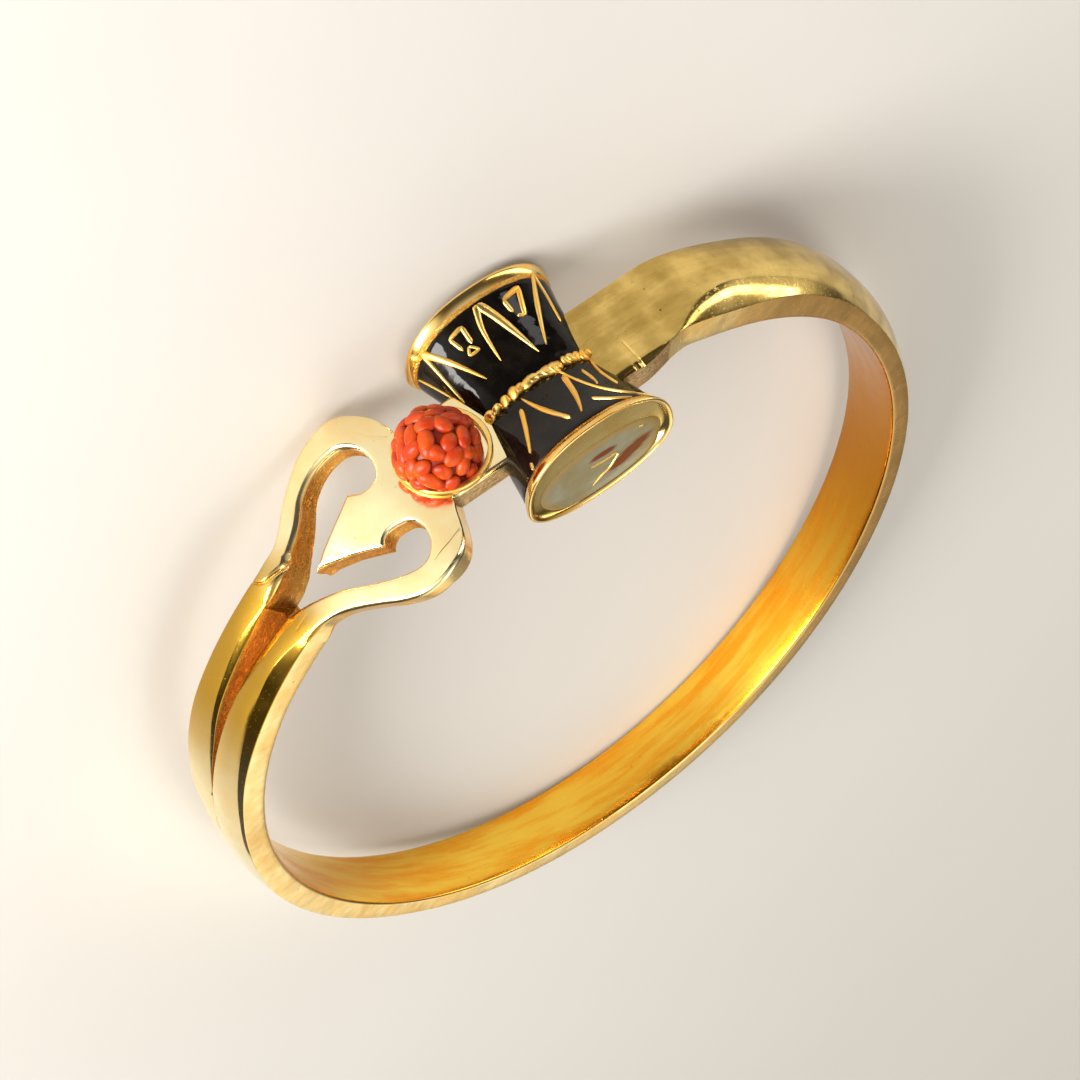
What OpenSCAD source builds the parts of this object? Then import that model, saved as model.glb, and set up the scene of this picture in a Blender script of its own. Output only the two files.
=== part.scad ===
// Ornamental bangle: a domed gilt band that splits into two strands and a pierced trident head,
// with a seed bead in a collet and an enamelled hourglass drum on the flat front.
// The ring is drawn round its own axis, with the drum at -Y, and is then laid down on its side.

/* [Ring] */
// Mean inside radius of the ring, which is made of six arcs
ring_inner_r = 31.75; // [29:0.25:34]
// Bend radius that the arcs gain and lose in turn
three_lobed = 2.2; // [0:0.1:3]
// Bend radius that the flattest sides gain over the mean
oval = 2; // [0:0.1:3]
// Thickness of the flat trident plate
plate_t = 2.25; // [1.8:0.05:2.8]
// Thickness of the band at its crown, mean of front and back
crown_t = 3.3; // [2.8:0.05:3.5]
// Shift of the domed outside towards the front, so that the back is thinner
crown_shift = 0.5; // [0:0.05:0.6]
// Radius of the dome across the band
dome_r = 6.9; // [5.5:0.1:12]
// Half width of the band at its back
band_half_w = 2.75; // [2.5:0.05:3]
// Half width of the band where it meets the front
shoulder_half_w = 3.2; // [2.9:0.05:3.3]
// Half width of the flat front
front_half_w = 3.75; // [3.5:0.05:3.9]

/* [Flat front] */
// Depth of the flat that is filed across the front, below the plate's outside
front_cut = 2.4; // [1.8:0.1:3]
// Thickness of the flat front bar
bar_t = 2.1; // [1.8:0.1:2.6]

/* [Strands] */
// Radius of the round groove between the strands
groove_r = 0.8; // [0.6:0.05:0.9]
// Depth of the groove's centre below the crown, where it is deepest
groove_sink = 0.25; // [0.1:0.05:0.5]
// Radius of a strand's round back
strand_r = 1.75; // [1.5:0.05:1.9]
// Distance of a strand's round back from the middle of the band
strand_apart = 1.45; // [1.2:0.05:1.5]
// Height over the plate at which the strands' start is filed flat
neck_rise = 0.45; // [0.1:0.05:0.6]

/* [Seed bead] */
// Distance of the bead's axis from the middle of the front
bead_x = 8.5; // [8.2:0.1:9]
// Radius of the bead's core
bead_r = 3.0; // [2.8:0.05:3.05]
// Radius of one lobe of the bead
lobe_r = 0.85; // [0.7:0.05:0.9]
// Number of lobes
lobe_count = 46; // [30:1:60]
// Height of the bead's centre over the flat front
bead_rise = 0.9; // [0.7:0.05:1.2]
// Inside radius of the collet
collet_r = 3.4; // [3.3:0.05:3.45]
// Wall of the collet
collet_wall = 0.38; // [0.3:0.02:0.45]
// Height of the collet over the flat front
collet_h = 0.55; // [0.4:0.05:0.8]
// Depth of the bead's seat in the bar
seat_depth = 1.4; // [1:0.1:1.5]

/* [Drum] */
// Half length of the drum
drum_half_l = 8; // [7.5:0.1:8.2]
// Half width of the drum's ends along the band
drum_end_w = 6.7; // [6.2:0.1:7]
// Outward height of the drum's ends over its widest line
drum_end_out = 5.9; // [5.2:0.1:6.2]
// Inward depth of the drum's ends under its widest line
drum_end_in = 3.5; // [3:0.1:4]
// Half width of the waist
waist_w = 5.1; // [4.6:0.1:5.3]
// Outward height of the waist over the widest line
waist_out = 2.5; // [2.2:0.1:2.8]
// Inward depth of the waist under the widest line
waist_in = 2.0; // [1.8:0.1:2.4]
// Power of the flare from waist to end, 1 for a straight cone
drum_flare = 1.2; // [1.1:0.05:2]
// Length of the gilt rim at each end
rim_l = 0.95; // [0.7:0.05:1.2]
// Height of the gilt rim over the enamel
rim_h = 0.14; // [0.08:0.02:0.2]
// Thickness of the enamel
enamel_t = 0.5; // [0.4:0.05:0.6]
// Radius of the beads round the waist
waist_bead_r = 0.45; // [0.35:0.01:0.46]
// Number of beads round the waist
waist_bead_count = 9; // [7:1:9]

/* [Hidden] */

// Gap between pieces that touch on the real thing
gap = 0.05;
// Distance that cutting shapes run past the metal
spare = 5;
// Facets of true circles
fine = 96;
// Steps along each arc of the inner contour
arc_steps = 24;

plate_r = ring_inner_r + plate_t;
// Thickness of the band at its side faces, at the back
side_t = crown_t - dome_r + sqrt(dome_r * dome_r - band_half_w * band_half_w);
front_y = -(plate_r - front_cut);
front_inner_y = front_y + bar_t;
// Place where the front's extra width begins
shoulder_y = -0.5 * ring_inner_r;
back_y = ring_inner_r + crown_t;
flare_per_mm = (shoulder_half_w - band_half_w) / (back_y - shoulder_y);
// Middle of the drum's widest line
drum_x = -0.4;
drum_y = front_y + 1.3;

// Directions are degrees from the front, towards the trident side
arc_span = 60;
oval_dir = 108;
head_dir = 31;
head_from = 17;
head_to = 43.6;
neck_dir = 41;
// Circles of the groove and of the strands' backs, off the ring's centre so that both fade out behind
groove_centre = [-2.4, -1, 0];
groove_ring_r = ring_inner_r + crown_t + 2.15;
groove_span = 95;
strand_centre = [1.6, -2.6, 0];
strand_ring_r = ring_inner_r + crown_t - 1.6;
strand_span = 85;

// Arcs of the ring, each tangent to the next: bend radius and centre
function outward(dir) = [sin(dir), -cos(dir)];
function arc_r(i) =
    ring_inner_r + oval * cos(2 * (arc_span * i - oval_dir)) + three_lobed * (i % 2 == 0 ? 1 : -1);
function arc_chain(i) =
    i == 0 ? [0, 0] : arc_chain(i - 1) + (arc_r(i - 1) - arc_r(i)) * outward(arc_span * (i - 0.5));
chain_sum = [for (i = [0 : 5]) 1] * [for (i = [0 : 5]) arc_chain(i)];
function arc_centre(i) = arc_chain(i) - chain_sum / 6;

// Outer edge of the trident head, one side: distance along the head, half width
EDGE_ALONG = 0;
EDGE_HALF = 1;
head_edge = [
    [-7.70, 3.90],
    [-7.50, 5.10],
    [-7.05, 6.40],
    [-6.25, 7.50],
    [-5.20, 8.25],
    [-3.90, 8.62],
    [-2.60, 8.60],
    [-1.20, 8.15],
    [0.20, 7.25],
    [1.70, 6.10],
    [3.30, 4.95],
    [4.80, 4.05],
    [6.20, 3.55],
    [7.60, 3.40]
];
// Outer edge of the pierced opening, one side, from the spear's root round to the split
pierce_edge = [
    [-1.70, 2.65],
    [-2.25, 2.15],
    [-3.05, 1.90],
    [-3.95, 2.05],
    [-4.60, 2.65],
    [-4.90, 3.60],
    [-4.75, 4.80],
    [-4.05, 5.75],
    [-2.90, 6.15],
    [-1.60, 6.00],
    [-0.10, 5.30],
    [1.70, 4.10],
    [3.40, 2.95],
    [5.10, 1.90],
    [6.60, 1.10],
    [7.50, 0.55]
];
// One side of the spear, from its barb to its tip
spear_edge = [
    [3.85, 0],
    [1.90, 0.80],
    [0.00, 1.70],
    [-1.70, 2.65]
];

// Smooth curve through the given points, with a number of steps between each pair
function at(p, i) = p[max(0, min(len(p) - 1, i))];
function blend(a, b, c, d, t) =
    0.5 * ((2 * b) + (c - a) * t + (2 * a - 5 * b + 4 * c - d) * t * t
    + (3 * b - a - 3 * c + d) * t * t * t);
function curve(p, steps) = concat(
    [for (i = [0 : len(p) - 2]) for (k = [0 : steps - 1])
        blend(at(p, i - 1), at(p, i), at(p, i + 1), at(p, i + 2), k / steps)],
    [p[len(p) - 1]]);
function other_side(p) = [for (i = [len(p) - 1 : -1 : 0]) [p[i][EDGE_ALONG], -p[i][EDGE_HALF]]];

// Plane on which the laid-down bangle rests: it touches a trident lobe, the drum's rim and the band
lobe_dir = head_dir - 5.6;
lobe_touch = [ring_inner_r * sin(lobe_dir) - 0.2, -ring_inner_r * cos(lobe_dir), -8.65];
rim_touch = [drum_x - 3.3, drum_y + drum_end_in + rim_h, -drum_half_l];
function band_touch(dir) = let (
        spot = arc_centre(3) + (arc_r(3) + side_t) * outward(dir) - [0, crown_shift])
    [spot[0], spot[1], -(band_half_w + flare_per_mm * (back_y - spot[1]))];
function plane_normal(c) = let (n = cross(lobe_touch - rim_touch, c - rim_touch)) n / norm(n) * sign(n[2]);
function touch_dir(n) = atan2(-n[0] / n[2], -(-n[1] / n[2] - flare_per_mm));
function settle(dir, turns) = turns == 0 ? dir : settle(touch_dir(plane_normal(band_touch(dir))), turns - 1);
rest_normal = plane_normal(band_touch(settle(180, 6)));
tip_x = atan2(rest_normal[1], rest_normal[2]);
tip_y = -atan2(rest_normal[0], norm([rest_normal[1], rest_normal[2]]));
rest_height = -(rim_touch * rest_normal);
// Shift that brings the middle of the laid-down bangle over the origin
centre_shift = [-0.2, 0.9, 0];

// Lays a piece of the upright ring down on its resting plane
module laid_down() {
    translate(centre_shift + [0, 0, rest_height])
        rotate([tip_x, tip_y, 0])
            children();
}

// Turns from the front to a direction
module towards(dir) {
    rotate([0, 0, dir])
        children();
}

// Prism of a flat shape, run outwards from the ring's axis
module outward_prism() {
    rotate([90, 0, 0])
        linear_extrude(plate_r + spare)
            children();
}

// Flat wedge between two directions
module wedge(from, to) {
    reach = 2 * plate_r;
    mid = (from + to) / 2;
    polygon([
        [0, 0],
        reach * outward(from),
        reach / cos((to - from) / 2) * outward(mid),
        reach * outward(to)
    ]);
}

// Space inside the ring, with its flat front
module inner_space() {
    linear_extrude(6 * spare, center = true)
        intersection() {
            polygon([for (i = [0 : 5]) for (k = [0 : arc_steps - 1])
                arc_centre(i) + arc_r(i) * outward(arc_span * (i - 0.5 + k / arc_steps))]);
            translate([-2 * plate_r, front_inner_y])
                square(4 * plate_r);
        }
}

// Everything behind the flat front face
module behind_front() {
    translate([-2 * plate_r, front_y, -spare * 3])
        cube([4 * plate_r, 4 * plate_r, spare * 6]);
}

// Band's width, seen from the side: even at the front, then narrowing to the back
module width_wedge() {
    half = [
        [back_y, band_half_w],
        [shoulder_y, shoulder_half_w],
        [-back_y, shoulder_half_w]
    ];
    rotate([90, 0, 90])
        linear_extrude(4 * plate_r, center = true)
            polygon(concat(half, [for (i = [2 : -1 : 0]) [half[i][0], -half[i][1]]]));
}

// One arc of the domed band
module domed_arc(i) {
    translate(arc_centre(i))
        towards(arc_span * (i - 0.5) - 90)
            rotate_extrude(angle = arc_span, $fn = fine)
                intersection() {
                    translate([arc_r(i) + crown_t - dome_r, 0])
                        circle(r = dome_r, $fn = fine);
                    translate([arc_r(i) - 3, -2 * spare])
                        square([10, 4 * spare]);
                }
}

// Whole domed ring before the head is let in
module domed_ring() {
    intersection() {
        union() {
            translate([0, -crown_shift, 0])
                for (i = [0 : 5])
                    domed_arc(i);
            for (side = [-1, 1])
                along_strands(strand_centre, strand_ring_r, strand_r, side * strand_apart, strand_r, strand_span);
        }
        width_wedge();
        behind_front();
    }
}

// Flat bar under the drum and the bead, wider than the band that it runs into
module front_bar() {
    bar_end = 11.5;
    bar_shoulder = 8.5;
    head_root = 9.8;
    half = [[-bar_end, shoulder_half_w], [-bar_shoulder, front_half_w], [head_root, front_half_w]];
    translate([0, front_inner_y, 0])
        rotate([90, 0, 0])
            linear_extrude(bar_t)
                polygon(concat(half, [for (i = [2 : -1 : 0]) [half[i][0], -half[i][1]]]));
}

// Sweep of a round section along the strands, under a circle and off the middle of the band
module along_strands(centre, top_r, depth, side, r, span) {
    translate(centre)
        towards(head_to - 92.5)
            rotate_extrude(angle = span, $fn = fine)
                translate([top_r - depth, side])
                    circle(r = r, $fn = 32);
}

// Flat filed across the start of the strands
module neck_flat() {
    towards(neck_dir)
        translate([-plate_r, -(plate_r + neck_rise) - 2 * spare, -2 * spare])
            cube([2 * plate_r, 2 * spare, 4 * spare]);
}

// Outline of the trident head with its pierced opening
module head_outline() {
    outer = curve(head_edge, 4);
    root = [[-9.2, 3.5]];
    into_strands = [[8.6, 3.35]];
    hole = curve(pierce_edge, 4);
    spear = curve(spear_edge, 3);
    difference() {
        polygon(concat(root, outer, into_strands, other_side(into_strands), other_side(outer),
            other_side(root)));
        polygon(concat(spear, hole, other_side(hole), other_side(spear)));
    }
}

// Trident head, bent to the ring's curve
module trident_plate() {
    difference() {
        intersection() {
            cylinder(h = 6 * spare, r = plate_r, center = true, $fn = fine);
            behind_front();
            towards(head_dir)
                outward_prism()
                    head_outline();
        }
        inner_space();
    }
}

// Band, strands, trident head and front bar: one casting
module band_casting() {
    difference() {
        union() {
            difference() {
                domed_ring();
                inner_space();
                linear_extrude(6 * spare, center = true)
                    wedge(head_from, head_to);
                along_strands(groove_centre, groove_ring_r, groove_sink, 0, groove_r, groove_span);
                neck_flat();
            }
            trident_plate();
            front_bar();
        }
        translate([bead_x, front_y + seat_depth, 0])
            rotate([90, 0, 0])
                cylinder(h = 3 * seat_depth, r = collet_r, $fn = fine);
    }
}

module bangle_band() {
    color("gold")
        laid_down()
            band_casting();
}

// Thin collar that stands on the bar round the bead
module bead_collet() {
    color("goldenrod")
        laid_down()
            translate([bead_x, front_y - gap, 0])
                rotate([90, 0, 0])
                    difference() {
                        cylinder(h = collet_h - gap, r = collet_r + collet_wall, $fn = fine);
                        translate([0, 0, -1])
                            cylinder(h = collet_h + 2, r = collet_r, $fn = fine);
                    }
}

// Direction of one lobe, spread evenly over a sphere
function lobe_at(i) = let (
        height = 1 - 2 * (i + 0.5) / lobe_count,
        ring = sqrt(1 - height * height),
        turn = i * 137.508)
    [ring * cos(turn), height, ring * sin(turn)];

// Knobbly seed, ground flat where it sits in the bar
module seed_bead() {
    seat_y = front_y + seat_depth - gap;
    color("orangered")
        laid_down()
            intersection() {
                translate([bead_x, front_y - bead_rise, 0]) {
                    sphere(r = bead_r, $fn = 48);
                    for (i = [0 : lobe_count - 1])
                        translate((bead_r + 0.33 - lobe_r) * lobe_at(i))
                            sphere(r = lobe_r, $fn = 24);
                }
                translate([bead_x - spare, seat_y - 3 * spare, -spare])
                    cube([2 * spare, 3 * spare, 2 * spare]);
            }
}

// Drum sections: width, outward height and inward depth at a height, made smaller by an inset
drum_points = 40;
function flare_share(z) = pow(min(1, abs(z) / drum_half_l), drum_flare);
function mix(a, b, t) = a + (b - a) * t;
function drum_size(z) = [
    mix(waist_w, drum_end_w, flare_share(z)),
    mix(waist_out, drum_end_out, flare_share(z)),
    mix(waist_in, drum_end_in, flare_share(z))];
function rounded(v) = sign(v) * pow(abs(v), 0.88);
function drum_loop(z, inset) = let (s = drum_size(z) - inset * [1, 1, 1])
    [for (i = [0 : drum_points - 1]) let (a = 360 * i / drum_points)
        [drum_x + s[0] * rounded(cos(a)),
         drum_y - (sin(a) > 0 ? s[1] : s[2]) * rounded(sin(a)), z]];

// Closed solid through a list of loops of equal length
module skin(loops, closed_round) {
    n = len(loops[0]);
    m = len(loops);
    last = closed_round ? m - 1 : m - 2;
    sides = [for (j = [0 : last]) for (i = [0 : n - 1])
        let (a = j * n + i, b = j * n + (i + 1) % n, c = ((j + 1) % m) * n + i, d = ((j + 1) % m) * n + (i + 1) % n)
        each [[a, b, d], [a, d, c]]];
    ends = closed_round ? [] : [
        [for (i = [n - 1 : -1 : 0]) i],
        [for (i = [0 : n - 1]) (m - 1) * n + i]];
    polyhedron(points = [for (l = loops) each l], faces = concat(sides, ends), convexity = 8);
}

// Heights of the sections between the waist and a rim
enamel_top = drum_half_l - rim_l;
enamel_from = 0.15;
function enamel_heights() = [for (i = [0 : 7]) mix(enamel_from, enamel_top, i / 7)];
function backwards(v) = [for (i = [len(v) - 1 : -1 : 0]) v[i]];

// Bar's place through the drum, with its gap
module bar_passage() {
    half = front_half_w + gap;
    translate([-2 * spare, front_y - gap, -half])
        cube([4 * spare, bar_t + 2 * gap, 2 * half]);
}

// Gilt body of the drum with its two rims, and the seats of the enamel
module drum_core() {
    heights = enamel_heights();
    half = concat(
        [for (z = heights) drum_loop(z, enamel_t)],
        [drum_loop(enamel_top + gap, enamel_t), drum_loop(enamel_top + gap, -rim_h),
         drum_loop(drum_half_l, -rim_h)]);
    other = [for (l = backwards(half)) [for (p = l) [p[0], p[1], -p[2]]]];
    color("gold")
        laid_down()
            difference() {
                skin(concat(other, half), false);
                bar_passage();
                for (side = [-1, 1])
                    translate([0, 0, side * drum_half_l])
                        linear_extrude(2 * (enamel_t + gap), center = true)
                            polygon([for (p = drum_loop(drum_half_l, 0.55)) [p[0], p[1]]]);
            }
}

// Black enamel over one half of the drum
module drum_enamel(side) {
    heights = enamel_heights();
    outside = [for (z = heights) drum_loop(z, 0)];
    inside = [for (z = backwards(heights)) drum_loop(z, enamel_t - gap)];
    loops = [for (l = concat(outside, inside)) [for (p = l) [p[0], p[1], side * p[2]]]];
    color([0.08, 0.07, 0.07])
        laid_down()
            difference() {
                skin(side > 0 ? loops : backwards(loops), true);
                bar_passage();
            }
}

module drum_enamel_near() {
    drum_enamel(1);
}

module drum_enamel_far() {
    drum_enamel(-1);
}

// Row of gilt beads over the front of the waist, joined by a thin strip
module waist_beading() {
    from = 38;
    to = 144;
    step = (to - from) / (waist_bead_count - 1);
    reach = [waist_w, waist_out] + (waist_bead_r + gap) * [1, 1];
    turns = [for (i = [0 : waist_bead_count - 1]) from + i * step];
    spots = [for (a = turns)
        [drum_x + reach[0] * rounded(cos(a)), drum_y - reach[1] * rounded(sin(a)), 0]];
    thin = 0.4 * waist_bead_r;
    color("gold")
        laid_down() {
            for (i = [0 : waist_bead_count - 1])
                translate(spots[i])
                    rotate([0, 0, -turns[i]])
                        sphere(r = waist_bead_r, $fn = 32);
            linear_extrude(2 * thin, center = true)
                polygon(concat(
                    [for (p = spots) [p[0], p[1] - thin]],
                    [for (p = backwards(spots)) [p[0], p[1] + thin]]));
        }
}

// Pale enamel plate in one end of the drum
module end_enamel(side) {
    sunk = 0.12;
    color([0.72, 0.74, 0.6])
        laid_down()
            translate([0, 0, side * (drum_half_l - sunk) - (side > 0 ? enamel_t - sunk : 0)])
                linear_extrude(enamel_t - sunk)
                    polygon([for (p = drum_loop(drum_half_l, 0.6)) [p[0], p[1]]]);
}

module end_enamel_near() {
    end_enamel(1);
}

module end_enamel_far() {
    end_enamel(-1);
}

bangle_band();
bead_collet();
seed_bead();
drum_core();
drum_enamel_near();
drum_enamel_far();
waist_beading();
end_enamel_near();
end_enamel_far();
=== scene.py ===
"""Looks of an ornamental bangle: gilt band, pierced trident head, knobbly seed and enamelled hourglass drum.

Every piece is drawn in the upright ring's own frame, in millimetres (ring axis Z, drum at -Y, trident head
towards +X), and is then laid down on its resting plane as the CAD model is. Directions round the ring are in
degrees from the front towards the trident head. The side that the camera sees, at +Z, is called the near one.
"""

import functools
import math
import random

import bmesh
import bpy
import numpy as np
from mathutils import Matrix, Vector
from mathutils.geometry import delaunay_2d_cdt


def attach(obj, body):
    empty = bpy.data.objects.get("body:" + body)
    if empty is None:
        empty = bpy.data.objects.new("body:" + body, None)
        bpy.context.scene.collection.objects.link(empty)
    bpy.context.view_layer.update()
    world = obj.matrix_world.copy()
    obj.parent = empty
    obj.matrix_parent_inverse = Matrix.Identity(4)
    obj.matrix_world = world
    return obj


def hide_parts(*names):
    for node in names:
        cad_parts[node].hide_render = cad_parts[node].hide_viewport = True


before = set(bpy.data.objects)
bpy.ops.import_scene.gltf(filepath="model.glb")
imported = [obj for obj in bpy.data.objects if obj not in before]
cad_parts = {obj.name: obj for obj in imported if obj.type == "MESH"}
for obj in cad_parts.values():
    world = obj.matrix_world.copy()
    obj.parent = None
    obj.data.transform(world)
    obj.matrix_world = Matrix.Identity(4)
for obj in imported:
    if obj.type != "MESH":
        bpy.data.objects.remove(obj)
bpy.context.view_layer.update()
scene = bpy.context.scene

# The same placing as in part.scad
TIP_X = math.radians(-4.82019)
TIP_Y = math.radians(-1.59906)
REST_HEIGHT = 5.83251
CENTRE_SHIFT = Vector((-0.2, 0.9, 0))
MM = 0.001
laid_down = (
    Matrix.Scale(MM, 4)
    @ Matrix.Translation(CENTRE_SHIFT + Vector((0, 0, REST_HEIGHT)))
    @ Matrix.Rotation(TIP_Y, 4, "Y")
    @ Matrix.Rotation(TIP_X, 4, "X")
)
# The flat bar's outer and inner face, and what sits on it
FLAT_Y = -31.6
FLAT_IN_Y = -29.5
BEAD_X = 8.5
DRUM_X = -0.4
DRUM_Y = FLAT_Y + 1.3
DRUM_HALF = 8.0
SEED_AT = Vector((BEAD_X + 0.46, FLAT_Y - 0.85, 0.1))


# Tools for tables, lines and smooth values
def step(a, b, t):
    """0 below a, 1 above b and smooth between them."""
    t = np.clip((np.asarray(t, float) - a) / (b - a), 0, 1)
    return t * t * (3 - 2 * t)


def bell(x, wide):
    return np.exp(-((x / wide) ** 2))


def along(table, spread):
    """A smooth function through rows of (degrees, value), blurred over a spread in degrees."""
    at, value = np.array(table, float).T
    fine = np.arange(at[0] - 40, at[-1] + 40, 0.5)
    rough = np.interp(fine, at, value)
    reach = np.arange(-4 * spread, 4 * spread + 0.5, 0.5)
    kernel = np.exp(-0.5 * (reach / spread) ** 2)
    padded = np.pad(rough, len(reach) // 2, mode="edge")
    smooth = np.convolve(padded, kernel / kernel.sum(), mode="valid")[: len(fine)]
    return lambda x: np.interp(x, fine, smooth)


def soft_min(a, b, k):
    """The smaller of two values, rounded off over about k where they meet."""
    h = np.clip(0.5 + 0.5 * (b - a) / k, 0, 1)
    return b * (1 - h) + a * h - k * h * (1 - h)


def unit(v):
    return v / np.linalg.norm(v, axis=-1, keepdims=True)


def sideways(line):
    """Unit directions across a flat line at its points."""
    run = np.gradient(line, axis=0)
    return unit(np.column_stack([run[:, 1], -run[:, 0]]))


def catmull(points, steps):
    """Smooth open curve through points."""
    p = np.array(points, float)
    p = np.vstack([p[0], p, p[-1]])
    out = []
    for i in range(1, len(p) - 2):
        a, b, c, d = p[i - 1 : i + 3]
        for t in np.arange(steps) / steps:
            bend = (2 * a - 5 * b + 4 * c - d) * t**2 + (3 * b - a - 3 * c + d) * t**3
            out.append(0.5 * (2 * b + (c - a) * t + bend))
    out.append(p[-2])
    return np.array(out)


def fillet(points, radii, steps):
    """Rounds each corner of an open line by its radius, always with the same number of points."""
    p = np.array(points, float)
    out = [p[0]]
    for i in range(1, len(p) - 1):
        if not radii[i]:
            out.append(p[i])
            continue
        a, b = p[i - 1] - p[i], p[i + 1] - p[i]
        length_a, length_b = np.linalg.norm(a), np.linalg.norm(b)
        a, b = a / max(length_a, 1e-9), b / max(length_b, 1e-9)
        turn = math.pi - math.acos(float(np.clip(a @ b, -1, 1)))
        cut = min(radii[i] * math.tan(turn / 2), 0.45 * length_a, 0.45 * length_b)
        for t in np.linspace(0, 1, steps + 1):
            out.append((1 - t) ** 2 * (p[i] + a * cut) + 2 * t * (1 - t) * p[i] + t**2 * (p[i] + b * cut))
    out.append(p[-1])
    return np.array(out)


@functools.cache
def ico(detail):
    """Points and faces of a sphere of radius 1."""
    bm = bmesh.new()
    bmesh.ops.create_icosphere(bm, subdivisions=detail, radius=1)
    bm.verts.ensure_lookup_table()
    points = np.array([v.co[:] for v in bm.verts])
    faces = [tuple(v.index for v in f.verts) for f in bm.faces]
    bm.free()
    return points, faces


class Lump:
    """Points, faces and finishes of one piece while it is drawn."""

    def __init__(self):
        self.points, self.faces, self.finish, self.count = [], [], [], 0

    def add(self, points, faces, finish=0):
        """finish is one number, or a list with one for each face."""
        self.points.append(np.asarray(points, float))
        self.faces += [tuple(int(v) + self.count for v in f) for f in faces]
        self.finish += finish if isinstance(finish, list) else [finish] * len(faces)
        self.count += len(points)

    def skin(self, loops, finish=0, capped=True, closed=True):
        """A surface through loops of equal length. finish spreads over gaps between loops and faces round."""
        loops = np.asarray(loops, float)
        m, n = loops.shape[:2]
        sides = [(i, (i + 1) % n) for i in range(n if closed else n - 1)]
        faces = [(j + i, j + k, j + n + k, j + n + i) for j in range(0, (m - 1) * n, n) for i, k in sides]
        kinds = np.broadcast_to(finish, (m - 1, len(sides))).ravel().tolist()
        points = loops.reshape(-1, 3)
        if capped:
            points = np.vstack([points, loops[0].mean(0), loops[-1].mean(0)])
            for i, k in sides:
                faces += [(m * n, k, i), (m * n + 1, (m - 1) * n + i, (m - 1) * n + k)]
            kinds += [0] * (2 * len(sides))
        self.add(points, faces, kinds)

    def ball(self, centre, axes, detail, bumps=0.0, rng=None):
        """An ellipsoid, uneven by bumps, whose half axes are the columns of a 3x3 array."""
        sphere, faces = ico(detail)
        points = sphere
        for _ in range(4 if bumps else 0):
            wave = np.array([rng.uniform(-1, 1) for _ in range(3)])
            points = points * (1 + bumps * np.sin(2.3 * (sphere @ wave) + rng.uniform(0, 6))[:, None])
        self.add(points @ np.asarray(axes, float).T + centre, faces)


def make(name, lump, finishes, node, sharp=None):
    """Turns a lump into an object that rides on the part and stands for a CAD node."""
    turn = np.array(laid_down)
    points = np.vstack(lump.points) @ turn[:3, :3].T + turn[:3, 3]
    mesh = bpy.data.meshes.new(name)
    mesh.from_pydata(points.tolist(), [], lump.faces)
    mesh.polygons.foreach_set("material_index", lump.finish)
    mesh.polygons.foreach_set("use_smooth", [True] * len(lump.faces))
    for finish in finishes:
        mesh.materials.append(finish)
    bm = bmesh.new()
    bm.from_mesh(mesh)
    bmesh.ops.remove_doubles(bm, verts=bm.verts, dist=1e-6)
    bmesh.ops.recalc_face_normals(bm, faces=bm.faces)
    bm.to_mesh(mesh)
    bm.free()
    mesh.update()
    if sharp:
        mesh.set_sharp_from_angle(angle=math.radians(sharp))
    obj = bpy.data.objects.new(name, mesh)
    scene.collection.objects.link(obj)
    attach(obj, "root")
    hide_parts(node)


# Materials
class Tree:
    """A node tree under construction, with short ways to add its nodes."""

    def __init__(self, tree):
        self.tree = tree

    def add(self, kind, inputs=None, **settings):
        """A node, with its inputs given by their names or numbers."""
        node = self.tree.nodes.new(kind)
        for key, value in settings.items():
            setattr(node, key, value)
        for key, value in (inputs or {}).items():
            self.put(node.inputs[key], value)
        return node

    def put(self, socket, value):
        """Fills an input with a number, vector or colour, or with another node's output."""
        if hasattr(value, "is_output"):
            self.tree.links.new(value, socket)
        else:
            socket.default_value = (*value, 1.0) if socket.type == "RGBA" else value

    def ramp(self, value, start, end, low=0.0, high=1.0):
        """A smooth change from low to high while the value goes from start to end."""
        inputs = {"Value": value, "From Min": start, "From Max": end, "To Min": low, "To Max": high}
        return self.add("ShaderNodeMapRange", inputs, interpolation_type="SMOOTHSTEP").outputs["Result"]

    def math(self, kind, a, b):
        return self.add("ShaderNodeMath", {0: a, 1: b}, operation=kind).outputs[0]

    def plus(self, a, b):
        return self.math("ADD", a, b)

    def times(self, a, b):
        return self.math("MULTIPLY", a, b)

    def vector(self, kind, inputs):
        return self.add("ShaderNodeVectorMath", inputs, operation=kind).outputs


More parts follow.
